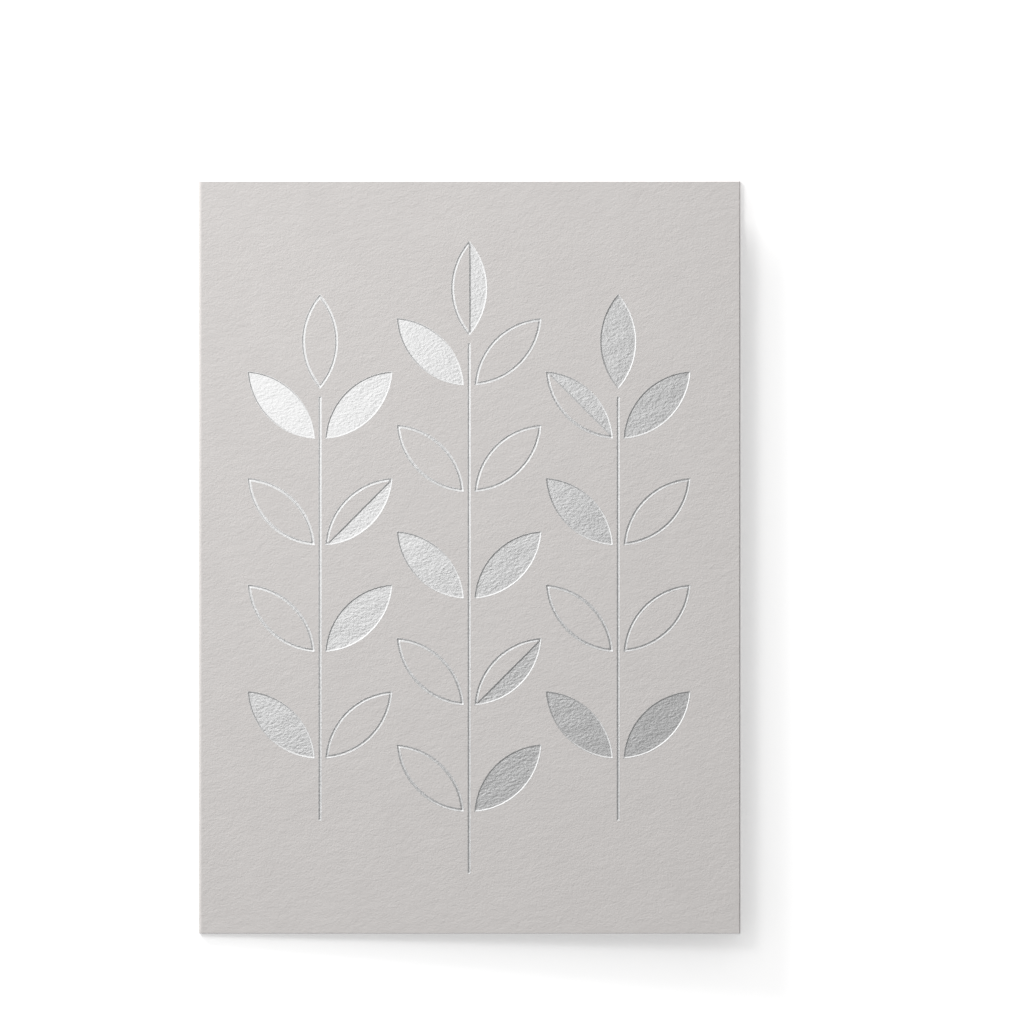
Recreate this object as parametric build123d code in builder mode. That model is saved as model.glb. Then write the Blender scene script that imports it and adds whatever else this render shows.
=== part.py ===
from build123d import *
import os
from math import cos, radians, sin, tan

# Folded greeting card with foil-stamped sprigs on its cover. Millimetres.
#
# The card lies on its back panel. +X runs from the fold on the left to the free edge, +Y up the
# cover, +Z up. The origin is in the middle of the underside.

# The folded sheet. Thick stock never folds flat, so the cover springs open by a small angle.
card_width = 114.3
card_height = 158.75
sheet_thickness = 0.5
crease_radius = 0.15
open_angle = 2.6

# Scoring the sheet before it is folded leaves a round bead along the inside of the crease
bead_radius = 0.1

# The blade that trims the sheet enters on its outer side and rolls that edge over a little
edge_break = 0.1

# The stamp: how deep the die presses, how steep its walls are, and what it leaves on the floor
stamp_depth = 0.2
stamp_draft = 35.0
foil_thickness = 0.05
line_width = 0.62

# The sprigs: a tall one in the middle of the cover and a shorter one on each side of it
leaf_length = 20.0
leaf_width = 7.6
leaf_angle = 45.0
leaf_pitch = 22.5
leaf_gap = 1.6
middle_pairs = 5
side_pairs = 4
sprig_spacing = 31.5
stem_foot = 12.0
stem_tip = 10.0

os.makedirs("parts", exist_ok=True)

# The two panels have one length, from the fold's tangent to the free edge
fold_radius = crease_radius + sheet_thickness
fold_x = fold_radius - card_width / 2
panel_length = card_width - fold_radius
tilt = radians(open_angle)
along_cover = Vector(cos(tilt), 0, sin(tilt))
out_of_cover = Vector(-sin(tilt), 0, cos(tilt))
fold_centre = Vector(fold_x, 0, fold_radius)

# The artwork is laid out on the tilted cover, with its zero in the middle of the card
cover_plane = Plane(
    origin=fold_centre + out_of_cover * fold_radius + along_cover * (card_width / 2 - fold_radius),
    x_dir=along_cover,
    z_dir=out_of_cover,
)


# A leaf is where two discs overlap, and its pressed form is where two broad cones do
arc_radius = (leaf_length**2 / 4 + leaf_width**2 / 4) / leaf_width
arc_centre = arc_radius - leaf_width / 2
wall_run = stamp_depth * tan(radians(stamp_draft))


def leaf_form(inset, draft_run):
    """A leaf along +X from its base at zero, as deep as the stamp. Its edge lies inside the full
    leaf's by the inset, and is drawn in at the floor by the draft's run, or spread if that is
    negative."""
    with BuildPart() as form:
        for side, mode in ((-1, Mode.ADD), (1, Mode.INTERSECT)):
            with Locations((leaf_length / 2, side * arc_centre, -stamp_depth / 2)):
                top_radius = arc_radius - inset
                Cone(top_radius - draft_run, top_radius, stamp_depth, mode=mode)
    return form.part


def stem_form(length):
    """A stem up +Y from its foot at zero, with the same draft on its sides and ends."""
    with BuildPart() as form:
        Wedge(
            line_width, stamp_depth, length,
            wall_run, wall_run, line_width - wall_run, length - wall_run,
            rotation=(-90, 0, 0),
            align=(Align.CENTER, Align.MIN, Align.MIN),
        )
    return form.part


with BuildPart() as full_leaf:
    add(leaf_form(0, wall_run))

# A leaf that is only a fine line around its edge
with BuildPart() as line_leaf:
    add(full_leaf)
    add(leaf_form(line_width, -wall_run), mode=Mode.SUBTRACT)

# A leaf with one half filled, up to a drafted wall on its midrib, and the other half a fine line
midrib_wall = Plane(
    origin=(0, 0, 0),
    x_dir=(1, 0, 0),
    z_dir=(0, cos(radians(stamp_draft)), -sin(radians(stamp_draft))),
)
with BuildPart() as half_island:
    add(leaf_form(line_width, -wall_run))
    split(bisect_by=midrib_wall, keep=Keep.TOP)
with BuildPart() as half_leaf:
    add(full_leaf)
    add(half_island, mode=Mode.SUBTRACT)

leaf_styles = [full_leaf, line_leaf, line_leaf, full_leaf, line_leaf, half_leaf, full_leaf]

# Everything that the die presses into the cover. Each sprig is centred on the card's height, and
# a side sprig has one pair of leaves fewer, so its leaves fall between the tall one's.
with BuildPart() as pressing:
    leaf_number = 0
    with Locations(cover_plane):
        for column, pairs in ((-1, side_pairs), (0, middle_pairs), (1, side_pairs)):
            x = column * sprig_spacing
            stem_length = stem_foot + (pairs - 1) * leaf_pitch + stem_tip
            foot_y = -(stem_length + leaf_gap + leaf_length) / 2
            with Locations((x, foot_y)):
                add(stem_form(stem_length))
            places = [
                Location((x, foot_y + stem_foot + pair * leaf_pitch), 90 - side * leaf_angle)
                for pair in range(pairs)
                for side in (-1, 1)
            ]
            places.append(Location((x, foot_y + stem_length), 90))
            for place in places:
                with Locations(place):
                    with Locations((leaf_gap, 0)):
                        add(leaf_styles[leaf_number % len(leaf_styles)])
                leaf_number += 1


# One sheet, drawn as its section across the fold: back panel, round spine, sprung cover, and the
# crease between them. Its edges are trimmed square, and broken all round on the outer side only.
with BuildPart() as card:
    with BuildSketch(Plane.XZ):
        with BuildLine():
            fold_at = (fold_centre.X, fold_centre.Z)
            back = Line((card_width / 2, 0), (fold_x, 0))
            spine = CenterArc(fold_at, fold_radius, 270, open_angle - 180)
            cover = Line(spine @ 1, spine @ 1 + Vector(cos(tilt), sin(tilt)) * panel_length)
            edge = Line(cover @ 1, cover @ 1 + Vector(sin(tilt), -cos(tilt)) * sheet_thickness)
            crease = CenterArc(fold_at, crease_radius, 270, open_angle - 180)
            Line(edge @ 1, crease @ 1)
            Line(crease @ 0, (card_width / 2, sheet_thickness))
            Line((card_width / 2, sheet_thickness), back @ 0)
        make_face()
        with Locations((fold_centre.X - crease_radius, fold_centre.Z)):
            Circle(bead_radius)
    extrude(amount=card_height / 2, both=True)
    back_face = card.faces().filter_by(Plane.XY).sort_by(Axis.Z)[0]
    cover_face = card.faces().filter_by(cover_plane).sort_by(Axis.Z)[-1]
    spine_face = card.faces().filter_by(GeomType.CYLINDER).sort_by(SortBy.AREA)[-1]
    fold_lines = spine_face.edges().filter_by(Axis.Y)
    outer_edges = back_face.edges() + spine_face.edges() + cover_face.edges()
    chamfer([edge for edge in outer_edges if edge not in fold_lines], edge_break)
    add(pressing, mode=Mode.SUBTRACT)
card.part.label = "card"
export_step(card.part, "parts/card.step")


# The foil lies on the floor of everything pressed, from wall to wall
with BuildPart() as foil:
    add(pressing)
    split(bisect_by=cover_plane.offset(foil_thickness - stamp_depth), keep=Keep.BOTTOM)
foil.part.label = "foil"
export_step(foil.part, "parts/foil.step")
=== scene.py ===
# %% [markdown]
# # A folded card with foil-stamped sprigs
#
# The object is one sheet of thick, soft stock, folded once, with leaf sprigs pressed into its cover
# and lined with silver foil. The sheet itself is flat and exact, so it comes from the drawing and
# only gets its paper here. The foil is soft work: it dives over a rounded edge and takes the grain
# of the felt, so it is made here as surfaces.

# %% The drawn card
import math

import bmesh
import bpy
import numpy as np
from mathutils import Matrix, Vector


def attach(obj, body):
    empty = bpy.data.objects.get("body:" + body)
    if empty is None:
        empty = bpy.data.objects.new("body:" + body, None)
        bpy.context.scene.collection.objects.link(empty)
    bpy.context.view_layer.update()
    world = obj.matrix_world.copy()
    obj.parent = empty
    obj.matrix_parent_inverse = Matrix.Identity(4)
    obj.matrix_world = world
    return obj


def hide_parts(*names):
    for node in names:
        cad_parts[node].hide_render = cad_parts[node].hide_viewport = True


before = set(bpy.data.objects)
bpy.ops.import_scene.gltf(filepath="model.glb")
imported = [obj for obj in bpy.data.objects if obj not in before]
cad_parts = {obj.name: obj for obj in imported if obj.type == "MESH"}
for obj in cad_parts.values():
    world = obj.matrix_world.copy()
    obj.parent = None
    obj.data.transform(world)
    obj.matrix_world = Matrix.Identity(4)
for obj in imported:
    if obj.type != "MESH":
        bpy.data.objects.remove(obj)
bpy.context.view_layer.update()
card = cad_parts["card"]

# %% [markdown]
# The drawing's sizes that the foil needs are repeated here in metres, because this script reads
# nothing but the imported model. A cover coordinate pair is (across, up) from the middle of the card,
# measured on the tilted cover, and a third number lifts a point out of it.

# %% Cover coordinates
mm = 0.001
card_width = 114.3 * mm
fold_radius = 0.65 * mm
tilt = math.radians(2.6)
fold_centre = np.array([fold_radius - card_width / 2, 0, fold_radius])
along_cover = np.array([math.cos(tilt), 0, math.sin(tilt)])
up_cover = np.array([0.0, 1.0, 0.0])
out_of_cover = np.array([-math.sin(tilt), 0, math.cos(tilt)])
cover_middle = (
    fold_centre + out_of_cover * fold_radius + along_cover * (card_width / 2 - fold_radius)
)


def on_cover(across, up, out):
    """Points in the frame: cover_middle plus across times along_cover, up times up_cover and out
    times out_of_cover."""
    return (
        cover_middle
        + across[..., None] * along_cover
        + up[..., None] * up_cover
        + out[..., None] * out_of_cover
    )


print("cover tilts", round(math.degrees(tilt), 2), "degrees")

# %% [markdown]
# Uncoated stock is pressed under a woven felt while it is damp, which leaves short slanted ridges.
# The foil is stamped over them and shows them far better than the matt paper does. A height that
# is worked out for each point gives real ridges in the mesh itself. Three layers of stretched
# gradient noise, each of its own size, keep them from looking combed.

# %% Felt ridges
felt_angles = np.random.default_rng(11).uniform(0, 2 * math.pi, (256, 256))


def smooth_step(share):
    """0 below zero, 1 above one, and 3 t^2 - 2 t^3 between them."""
    t = np.clip(share, 0, 1)
    return t * t * (3 - 2 * t)


def slanted_noise(across, up, length, width, slant):
    """Gradient noise on a grid of cells of length by width that is turned by the slant. At a point
    with cell coordinates (a, b), each corner of its cell adds the dot product of the corner's unit
    vector and the way from the corner, weighted by smooth steps of a and b."""
    a = (across * math.cos(slant) + up * math.sin(slant)) / length
    b = (up * math.cos(slant) - across * math.sin(slant)) / width
    column, row = np.floor(a).astype(int), np.floor(b).astype(int)
    a, b = a - column, b - row

    def corner(right, above):
        angle = felt_angles[(column + right) % 256, (row + above) % 256]
        return np.cos(angle) * (a - right) + np.sin(angle) * (b - above)

    low = corner(0, 0) + smooth_step(a) * (corner(1, 0) - corner(0, 0))
    high = corner(0, 1) + smooth_step(a) * (corner(1, 1) - corner(0, 1))
    return low + smooth_step(b) * (high - low)


# Share, length and width in mm, slant in degrees, and how far the grid is moved across and up
felt_layers = (
    (1, 1.3, 0.36, 18, 0, 0),
    (0.6, 0.7, 0.3, 10, 9, 0),
    (1.5, 4.5, 2.6, 16, 0, 13),
)
felt_ridge = 0.02 * mm


def felt_height(across, up):
    """felt_ridge times the sum of share times slanted_noise over the layers: ridges that rise to
    the right, shorter ones between them, and soft waves a few millimetres long."""
    height = sum(
        share
        * slanted_noise(
            across + right * mm, up + above * mm, length * mm, width * mm, math.radians(slant)
        )
        for share, length, width, slant, right, above in felt_layers
    )
    return height * felt_ridge


sample = felt_height(*np.meshgrid(np.linspace(0, 0.02, 200), np.linspace(0, 0.02, 200)))
print("felt ridges, mm rms:", round(float(sample.std()) / mm, 4))

# %% [markdown]
# A stamping die has slightly rounded edges, so pressed foil never turns a sharp corner. The depth
# at a point depends only on how far inside the outline it lies: a smooth step down over the wall,
# then the felted floor. A lip a few hundredths wide lies on the paper outside the outline.

# %% The pressed section
stamp_depth = 0.16 * mm
wall_run = 0.22 * mm
lip = 0.03 * mm
lip_lift = 0.004 * mm
line_width = 0.62 * mm


def pressed_height(inside, across, up):
    """lip_lift - stamp_depth * smooth_step((inside - lip) / wall_run), and the felt's ridges in
    the same measure as the depth."""
    down = smooth_step((inside - lip) / wall_run)
    return lip_lift - stamp_depth * down + felt_height(across, up) * down


# Rows over the lip, down the wall, and one just past the wall's foot
lip_rows = [-lip, -0.7 * lip]
wall_rows = lip + wall_run * np.linspace(0, 1, 6)
past_foot = 0.05 * mm
edge_rows = np.concatenate([lip_rows, wall_rows, [lip + wall_run + past_foot]])
line_rows = np.concatenate([edge_rows, line_width - edge_rows[::-1]])
print("rows across a line:", len(line_rows))

# %% [markdown]
# A leaf's outline is two arcs, so its pressed edge is a ring of concentric arcs, each a little
# further in than the last. The two rings share the points where they meet at the leaf's ends. A
# filled leaf also has its inside, from the innermost arc straight down to the midrib.

# %% Leaf surfaces
leaf_length = 20 * mm
leaf_width = 7.6 * mm
arc_radius = (leaf_length**2 / 4 + leaf_width**2 / 4) / leaf_width
arc_drop = arc_radius - leaf_width / 2
arc_steps = {"full": 101, "half": 101, "line": 71}
inner_angle = math.acos(arc_drop / (arc_radius - line_width))
inner_tip = leaf_length / 2 - (arc_radius - line_width) * math.sin(inner_angle)

# Where the rows between a filled side's innermost arc and the midrib lie, as shares of the way from
# the midrib. A half leaf has more of them near it, down the wall that stands there.
floor_fall = np.linspace(1, 0, 19)
midrib_fall = np.concatenate(
    [np.linspace(1, 0.12, 16), [0.075, 0.055, 0.043, 0.034, 0.025, 0.016, 0.008, 0.003, 0]]
)


def arc_points(inset, share):
    """On the arc of radius arc_radius - inset about a point arc_drop below the middle, at share
    times the half angle acos(arc_drop / radius): x = middle + radius sin, y = radius cos - drop."""
    radius = arc_radius - inset
    angle = share * np.arccos(arc_drop / radius)
    return leaf_length / 2 + radius * np.sin(angle), radius * np.cos(angle) - arc_drop


def to_edge(x, y):
    """How far a point lies inside the leaf: arc_radius - hypot(x - middle, |y| + arc_drop)."""
    return arc_radius - np.hypot(x - leaf_length / 2, np.abs(y) + arc_drop)


def to_tips(x, y):
    """How far a point lies from the nearer end of the part that is left standing: the hypotenuse
    of the way along the leaf to that end and of y."""
    along = np.minimum(np.abs(x - inner_tip), np.abs(x - leaf_length + inner_tip))
    return np.hypot(along, y)


def to_island(x, y):
    """How far a point lies outside the whole inner leaf: line_width - to_edge beside it, and
    to_tips past its ends."""
    beside = line_width - to_edge(x, y)
    angle = np.abs(np.arctan2(x - leaf_length / 2, np.abs(y) + arc_drop))
    return np.where(angle <= inner_angle, beside, to_tips(x, y))


def to_midrib(x, y):
    """How far a point lies from the straight edge of the half that is left standing: |y| beside
    it, and to_tips past its ends."""
    between = (x > inner_tip) & (x < leaf_length - inner_tip)
    return np.where(between, np.abs(y), to_tips(x, y))


def leaf_patches(style):
    """Grids (x, y, distance inside the pressed work, side) of one leaf along +X. Both sides have a
    ring. A filled side goes on to the midrib, and a side that is a line stops at its far edge."""
    patches = []
    for side in (1, -1):
        filled = style == "full" or (style == "half" and side == -1)
        rows = np.append(edge_rows, line_width) if filled else line_rows
        inset, share = np.meshgrid(rows, np.linspace(-1, 1, arc_steps[style]))
        x, y = arc_points(inset, share)
        grids = [(x, y)]
        if filled:
            fall = midrib_fall if style == "half" else floor_fall
            x_edge, y_edge = x[:, -1:], y[:, -1:]
            grids.append((x_edge + 0 * fall, y_edge * fall))
        for x, y in grids:
            inside = to_edge(x, y)
            if style == "line" or (style == "half" and side == 1):
                inside = np.minimum(inside, to_island(x, y))
            if style == "half" and side == -1:
                inside = np.minimum(inside, to_midrib(x, y))
            patches.append((x, side * y, inside, side))
    return patches


for style in ("full", "line", "half"):
    points = sum(x.size for x, y, inside, side in leaf_patches(style))
    print(style, "leaf:", points, "points")

# %% [markdown]
# A stem is a straight pressed line. Its section is the same as the line's around a leaf, and its
# two ends slope down in the same way.

# %% Stem surface
# How far from its ends a stem's evenly spaced rows keep, and how far apart they are
stem_end = 0.5 * mm
stem_step = 0.45 * mm


def stem_patch(length):
    """A grid up +Y from the foot at zero. A point's distance inside is its distance to the nearest
    of the four edges."""
    middle_rows = np.arange(stem_end, length - stem_end, stem_step)
    rows = np.concatenate([edge_rows, middle_rows, length - edge_rows[::-1]])
    across, up = np.meshgrid(line_rows - line_width / 2, rows)
    inside = np.minimum(line_width / 2 - np.abs(across), np.minimum(up, length - up))
    return across, up, inside


print("stem points for 100 mm:", stem_patch(0.1)[0].size)

# %% [markdown]
# Each sprig becomes one mesh. Its patches are laid out on the cover and joined where their points
# coincide. A Solidify modifier gives them the thickness of a thin skin downward, so that the foil
# is a closed body and its shining side stays where it was worked out.

# %% The three sprigs
leaf_angle = math.radians(45)
leaf_pitch = 22.5 * mm
leaf_gap = 1.6 * mm
sprig_spacing = 31.5 * mm
stem_foot = 12 * mm
stem_tip = 10 * mm
leaf_styles = ["full", "line", "line", "full", "line", "half", "full"]
sprigs = (("left", -1, 4), ("middle", 0, 5), ("right", 1, 4))  # name, column, pairs of leaves
joined_within = 0.002 * mm
skin_thickness = 0.012 * mm


def grid_faces(rows, columns, start, flip):
    """Four-sided faces of a grid whose points are numbered row by row from start: each takes a
    point, the one below, the one below and right, and the one to the right."""
    number = start + np.arange(rows * columns).reshape(rows, columns)
    faces = np.stack([number[:-1, :-1], number[1:, :-1], number[1:, 1:], number[:-1, 1:]], -1)
    faces = faces.reshape(-1, 4)
    return faces[:, ::-1] if flip else faces


def foil_mesh(name, patches):
    """One mesh of grids (across, up, inside, flip) on the cover, joined where they meet."""
    points, faces, count = [], [], 0
    for across, up, inside, flip in patches:
        grid = on_cover(across, up, pressed_height(inside, across, up))
        points.append(grid.reshape(-1, 3))
        faces.append(grid_faces(*across.shape, count, flip))
        count += across.size
    mesh = bpy.data.meshes.new(name)
    mesh.from_pydata(np.concatenate(points), [], np.concatenate(faces).tolist())
    work = bmesh.new()
    work.from_mesh(mesh)
    bmesh.ops.remove_doubles(work, verts=work.verts, dist=joined_within)
    work.to_mesh(mesh)
    work.free()
    mesh.shade_smooth()
    return mesh


foils = []
leaf_number = 0
for name, column, pairs in sprigs:
    sprig_x = column * sprig_spacing
    stem_length = stem_foot + (pairs - 1) * leaf_pitch + stem_tip
    foot_y = -(stem_length + leaf_gap + leaf_length) / 2
    across, up, inside = stem_patch(stem_length)
    patches = [(across + sprig_x, up + foot_y, inside, True)]
    places = [
        (foot_y + stem_foot + pair * leaf_pitch, math.pi / 2 - side * leaf_angle)
        for pair in range(pairs)
        for side in (-1, 1)
    ]
    places.append((foot_y + stem_length, math.pi / 2))
    for base_y, turn in places:
        for x, y, inside, side in leaf_patches(leaf_styles[leaf_number % len(leaf_styles)]):
            x = x + leaf_gap
            across = sprig_x + x * math.cos(turn) - y * math.sin(turn)
            up = base_y + x * math.sin(turn) + y * math.cos(turn)
            patches.append((across, up, inside, side == -1))
        leaf_number += 1
    mesh = foil_mesh(f"foil_{name}_sprig", patches)
    foil = bpy.data.objects.new(mesh.name, mesh)
    bpy.context.scene.collection.objects.link(foil)
    skin = foil.modifiers.new("skin", "SOLIDIFY")
    skin.thickness = skin_thickness
    skin.offset = -1
    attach(foil, "root")
    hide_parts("foil")
    foils.append(foil)
    print(mesh.name, len(mesh.vertices), "points,", len(mesh.polygons), "faces")

# %% [markdown]
# Paper and foil carry the same felt marks, so those are one shader group with its own strength in
# each material. Stretched noise on object coordinates does it: the Mapping node turns the marks
# and gives their length and width in metres.

# %% Felt marks for both materials
# Length and width in mm, and slant in degrees
ridge_marks = (0.75, 0.5, 16)
shared_marks = {
    "Waves": (2.2, 1.5, 12),
    "Short Marks": (0.48, 0.38, 6),
    "Fibre": (0.2, 0.16, 30),
}


def felt_marks_group():
    """Position in, height out: slanted ridges, with shares of soft waves, short marks and fibre."""
    group = bpy.data.node_groups.new("felt marks", "ShaderNodeTree")
    group.interface.new_socket("Position", in_out="INPUT", socket_type="NodeSocketVector")
    for share in shared_marks:
        group.interface.new_socket(share, in_out="INPUT", socket_type="NodeSocketFloat")
    group.interface.new_socket("Height", in_out="OUTPUT", socket_type="NodeSocketFloat")
    nodes, links = group.nodes, group.links
    entry, leave = nodes.new("NodeGroupInput"), nodes.new("NodeGroupOutput")

    def marks(length, width, slant):
        lay = nodes.new("ShaderNodeMapping")
        lay.vector_type = "TEXTURE"
        lay.inputs["Rotation"].default_value = (0, 0, math.radians(slant))
        lay.inputs["Scale"].default_value = (length * mm, width * mm, width * mm)
        noise = nodes.new("ShaderNodeTexNoise")
        noise.inputs["Scale"].default_value = 1
        noise.inputs["Detail"].default_value = 1
        noise.inputs["Roughness"].default_value = 0.5
        links.new(entry.outputs["Position"], lay.inputs["Vector"])
        links.new(lay.outputs["Vector"], noise.inputs["Vector"])
        return noise.outputs["Fac"]

    def add_share(total, part, share):
        sum_node = nodes.new("ShaderNodeMath")
        sum_node.operation = "MULTIPLY_ADD"
        links.new(part, sum_node.inputs[0])
        links.new(share, sum_node.inputs[1])
        links.new(total, sum_node.inputs[2])
        return sum_node.outputs[0]

    height = marks(*ridge_marks)
    for share, sizes in shared_marks.items():
        height = add_share(height, marks(*sizes), entry.outputs[share])
    links.new(height, leave.inputs["Height"])
    return group


felt_marks = felt_marks_group()


def felted(material, distance, waves, short_marks, fibre):
    """Gives a material's Principled shader a bump from the felt marks."""
    nodes, links = material.node_tree.nodes, material.node_tree.links
    place = nodes.new("ShaderNodeTexCoord")
    marks = nodes.new("ShaderNodeGroup")
    marks.node_tree = felt_marks
    marks.inputs["Waves"].default_value = waves
    marks.inputs["Short Marks"].default_value = short_marks
    marks.inputs["Fibre"].default_value = fibre
    bump = nodes.new("ShaderNodeBump")
    bump.inputs["Distance"].default_value = distance
    links.new(place.outputs["Object"], marks.inputs["Position"])
    links.new(marks.outputs["Height"], bump.inputs["Height"])
    links.new(bump.outputs["Normal"], nodes["Principled BSDF"].inputs["Normal"])


print("felt marks:", len(felt_marks.nodes), "nodes")

# %% [markdown]
# The stock is a warm light grey, dyed through, with no coating: a plain rough surface. Its colour
# wanders very slightly from place to place, as pulp does.

# %% Card stock
cloud_size = 7 * mm
darker, lighter = (0.573, 0.550, 0.538, 1), (0.612, 0.589, 0.576, 1)
paper = bpy.data.materials.new("felt-marked card stock")
paper.use_nodes = True
paper_shader = paper.node_tree.nodes["Principled BSDF"]
paper_shader.inputs["Roughness"].default_value = 0.92
paper_shader.inputs["Specular IOR Level"].default_value = 0.25
felted(paper, distance=0.029 * mm, waves=2.1, short_marks=1.6, fibre=1.2)
clouds = paper.node_tree.nodes.new("ShaderNodeTexNoise")
clouds.inputs["Scale"].default_value = 1 / cloud_size
clouds.inputs["Detail"].default_value = 3
place = paper.node_tree.nodes["Texture Coordinate"]
paper.node_tree.links.new(place.outputs["Object"], clouds.inputs["Vector"])
tint = paper.node_tree.nodes.new("ShaderNodeMix")
tint.data_type = "RGBA"
tint.inputs["A"].default_value = darker
tint.inputs["B"].default_value = lighter
paper.node_tree.links.new(clouds.outputs["Fac"], tint.inputs["Factor"])
paper.node_tree.links.new(tint.outputs["Result"], paper_shader.inputs["Base Color"])
for slot in card.material_slots:
    slot.material = paper
print("card's material slots:", len(card.material_slots))

# %% [markdown]
# Hot-stamped foil is a film of metal and lacquer, only thousandths of a millimetre thick, with a
# satin shine. So its shader is metallic and moderately rough, and a bump adds the fine fibre marks
# that lie over the ridges of the mesh.

# %% Silver foil
silver = bpy.data.materials.new("satin silver foil")
silver.use_nodes = True
silver_shader = silver.node_tree.nodes["Principled BSDF"]
silver_shader.inputs["Base Color"].default_value = (0.9, 0.9, 0.9, 1)
silver_shader.inputs["Metallic"].default_value = 1
silver_shader.inputs["Roughness"].default_value = 0.34
felted(silver, distance=0.04 * mm, waves=0.3, short_marks=0.9, fibre=0.5)
for foil in foils:
    foil.data.materials.append(silver)
print("foil pieces:", len(foils))

# %% [markdown]
# The floor is a wide white sweep. It glows a little by itself, so that it stays white in the
# picture and still takes a soft shadow. It isn't part of the object.

# %% Floor
floor_half = 2.0
floor_glow = 0.32
corners = [(x * floor_half, y * floor_half, 0) for x, y in ((-1, -1), (1, -1), (1, 1), (-1, 1))]
floor_mesh = bpy.data.meshes.new("floor")
floor_mesh.from_pydata(corners, [], [(0, 1, 2, 3)])
floor = bpy.data.objects.new("floor", floor_mesh)
bpy.context.scene.collection.objects.link(floor)
white = bpy.data.materials.new("white sweep")
white.use_nodes = True
white_shader = white.node_tree.nodes["Principled BSDF"]
white_shader.inputs["Base Color"].default_value = (0.93, 0.93, 0.93, 1)
white_shader.inputs["Roughness"].default_value = 1
white_shader.inputs["Specular IOR Level"].default_value = 0
white_shader.inputs["Emission Color"].default_value = (1, 1, 1, 1)
white_shader.inputs["Emission Strength"].default_value = floor_glow
floor_mesh.materials.append(white)
print("floor is", 2 * floor_half, "m wide")

# %% [markdown]
# The light comes from the upper left. Matt paper and mirroring foil each want their own sky, and
# a Light Path node tells their rays apart: the paper gets a broad soft light, and the foil mirrors
# a band along the left horizon, which makes the edges that face it white. The band on the right is
# weaker and starts above the horizon, so the edges that face it read dark, while the foil still
# shines from behind. The camera itself sees plain white.

# %% Sky
sky = bpy.data.worlds.new("studio")
bpy.context.scene.world = sky
sky.use_nodes = True
sky_nodes, sky_links = sky.node_tree.nodes, sky.node_tree.links
sky_nodes["Background"].inputs["Color"].default_value = (1, 1, 1, 1)
direction = sky_nodes.new("ShaderNodeTexCoord").outputs["Generated"]


def cosine_to(light):
    """The cosine of the angle between a ray's direction and the light's."""
    facing = sky_nodes.new("ShaderNodeVectorMath")
    facing.operation = "DOT_PRODUCT"
    facing.inputs[1].default_value = Vector(light).normalized()
    sky_links.new(direction, facing.inputs[0])
    return facing.outputs["Value"]


def spread(value, start, stop, low, high, kind="SMOOTHSTEP"):
    """The value from start to stop, mapped from low to high and held beyond them."""
    node = sky_nodes.new("ShaderNodeMapRange")
    node.interpolation_type = kind
    ends = {"From Min": start, "From Max": stop, "To Min": low, "To Max": high}
    for name, number in ends.items():
        node.inputs[name].default_value = number
    sky_links.new(value, node.inputs["Value"])
    return node.outputs["Result"]


def arithmetic(operation, *values):
    """One Math node on sockets or plain numbers."""
    node = sky_nodes.new("ShaderNodeMath")
    node.operation = operation
    for socket, value in zip(node.inputs, values):
        if isinstance(value, (int, float)):
            socket.default_value = value
        else:
            sky_links.new(value, socket)
    return node.outputs[0]


def choose(share, without, instead):
    """One value, or the other where the share is 1."""
    node = sky_nodes.new("ShaderNodeMix")
    sky_links.new(share, node.inputs["Factor"])
    sky_links.new(without, node.inputs["A"])
    if isinstance(instead, (int, float)):
        node.inputs["B"].default_value = instead
    else:
        sky_links.new(instead, node.inputs["B"])
    return node.outputs["Result"]


rays = sky_nodes.new("ShaderNodeLightPath").outputs
for_paper = spread(cosine_to((-0.6, 0.8, 0.45)), -0.3, 1, 0.12, 1.2)
to_left = cosine_to((-1, 1, 0))
upward = cosine_to((0, 0, 1))
left_glow = spread(to_left, -0.35, 0.5, 0, 0.42)
side_to_side = spread(to_left, -1, 1, 0, 0.36, "LINEAR")
left_band = spread(upward, 0, 0.65, 0.6, 0)
right_band = arithmetic(
    "MULTIPLY", spread(upward, 0.06, 0.34, 0.03, 0.3), spread(upward, 0.5, 0.8, 1, 0)
)
band = choose(spread(to_left, -0.2, 0.7, 0, 1), right_band, left_band)
for_foil = arithmetic("ADD", arithmetic("ADD", left_glow, side_to_side), band)
strength = choose(rays["Is Glossy Ray"], for_paper, for_foil)
strength = choose(rays["Is Camera Ray"], strength, 1)
sky_links.new(strength, sky_nodes["Background"].inputs["Strength"])
print("sky:", len(sky_nodes), "nodes")

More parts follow.
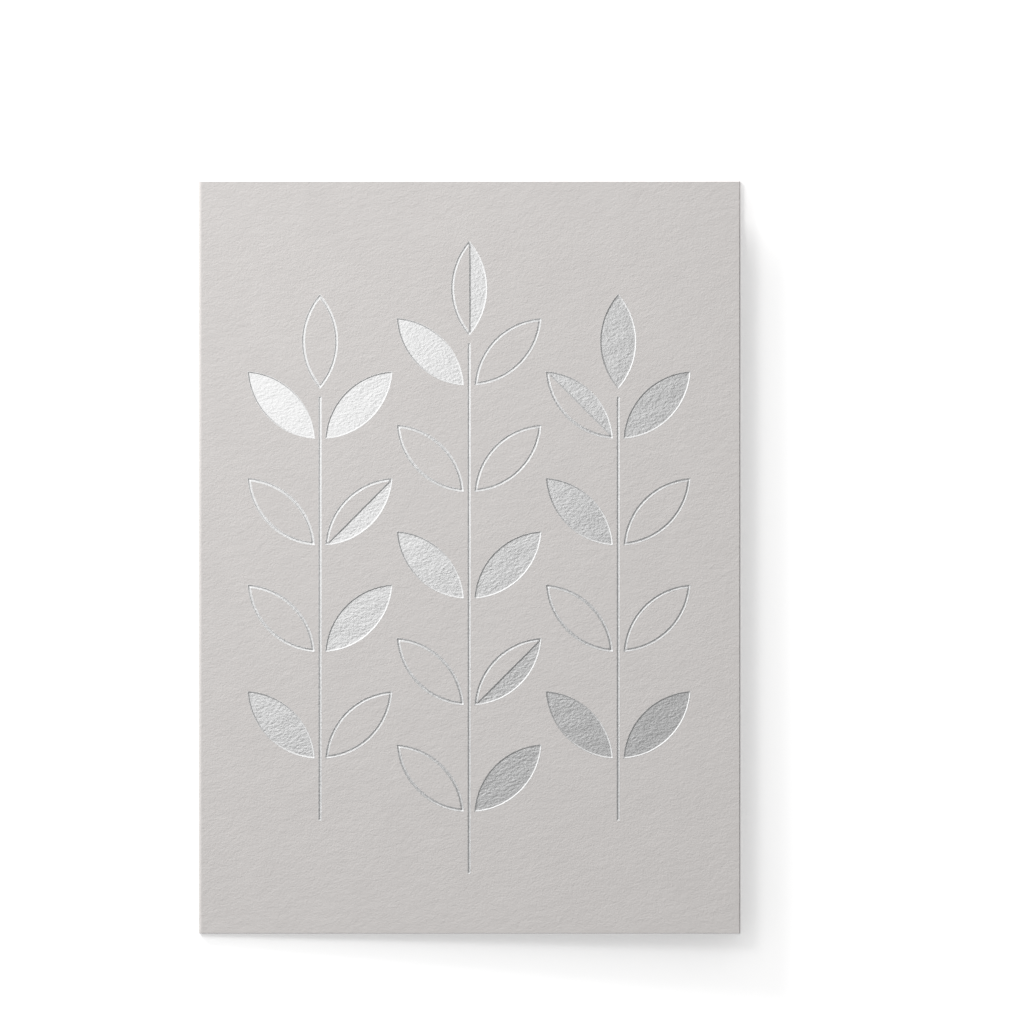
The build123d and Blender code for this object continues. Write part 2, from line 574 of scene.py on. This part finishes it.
# %% [markdown]
# Two soft boxes light paper and floor, and the foil doesn't mirror them. The small one hangs above
# the card's upper left corner and shades the page from there, and the large low one stands further
# off and throws the card's shadow. Three discs do the opposite: only the foil mirrors them, as a
# bright spot on the upper left that fades outward. They hang a little apart, because lamps in one
# plane would hide each other.

# %% Lamps


def soft_box(name, place, aim, size, watts, shape="SQUARE"):
    """An area light at a place, facing a point: a square, or a disc of that size across."""
    lamp = bpy.data.lights.new(name, "AREA")
    lamp.shape = shape
    lamp.size = size
    lamp.energy = watts
    holder = bpy.data.objects.new(name, lamp)
    bpy.context.scene.collection.objects.link(holder)
    holder.location = place
    holder.rotation_euler = (Vector(aim) - Vector(place)).to_track_quat("-Z", "Y").to_euler()
    holder.visible_camera = False
    return holder


corner_box = soft_box(
    "corner box", place=(-0.12, 0.08, 0.28), aim=(-0.1, 0.06, 0), size=0.1, watts=0.187
)
corner_box.visible_glossy = False
low_box = soft_box(
    "low box", place=(-0.571, 0.761, 0.309), aim=(0, 0, 0), size=0.25, watts=6.6
)
low_box.visible_glossy = False
glow_spot = (-0.085, 0.06)
for size, watts, height in ((0.14, 0.0115, 0.1), (0.2, 0.0225, 0.103), (0.26, 0.0322, 0.106)):
    glow = soft_box("foil glow", (*glow_spot, height), (*glow_spot, 0), size, watts, "DISK")
    glow.visible_diffuse = False
print("lamps:", len(bpy.data.lights))

# %% [markdown]
# The photograph looks straight down with no perspective, so the camera is orthographic. Its scale
# and place come from the card's width in the picture and its distance from the picture's middle.

# %% Camera
picture_px = 1024
px_per_mm = 4.738
picture_middle = (8.96 * mm, 9.58 * mm)
camera_height = 0.6
view = bpy.data.cameras.new("camera")
view.type = "ORTHO"
view.ortho_scale = picture_px / px_per_mm * mm
camera = bpy.data.objects.new("camera", view)
bpy.context.scene.collection.objects.link(camera)
camera.location = (*picture_middle, camera_height)
view.clip_start = 0.01
view.clip_end = 10
bpy.context.scene.camera = camera
bpy.context.scene.view_settings.view_transform = "Standard"
print("picture is", round(view.ortho_scale / mm, 2), "mm wide")
